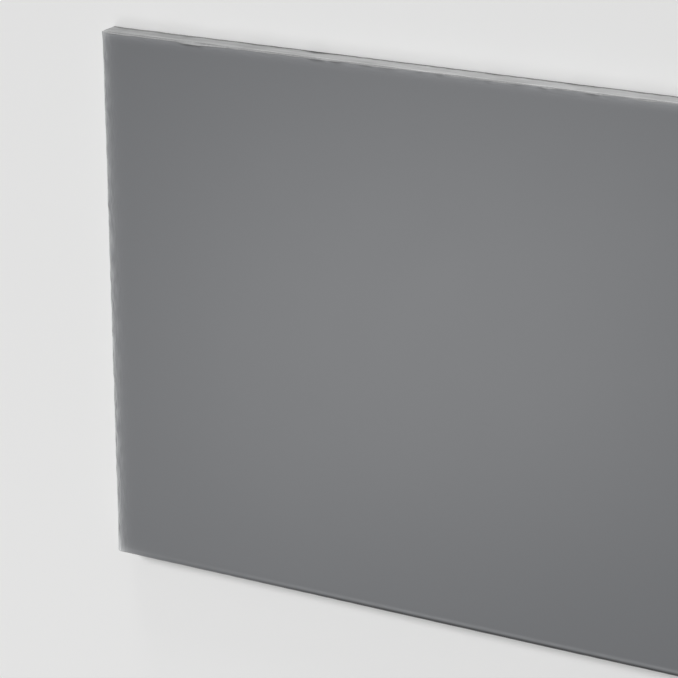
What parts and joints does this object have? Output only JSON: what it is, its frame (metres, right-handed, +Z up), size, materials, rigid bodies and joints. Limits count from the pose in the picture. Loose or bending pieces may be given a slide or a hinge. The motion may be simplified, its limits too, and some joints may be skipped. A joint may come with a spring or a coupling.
{
  "type": "pvc sheet",
  "caption": "Flat rectangular sheet of solid grey rigid PVC with satin faces, sawn sides and eased edges, cut to size as stock for panels, guards and fabricated parts.",
  "frame": {"origin": "middle of the underside, on the level surface that the sheet lies on", "axes": "+X along the sheet's length, +Y along its width, +Z up through its thickness, out of the show face"},
  "size_m": [0.6096, 0.3048, 0.0127],
  "materials": {
    "grey_pvc": "satin"
  },
  "bodies": {
    "root": {"pvc_sheet": "grey_pvc"}
  },
  "joints": []
}
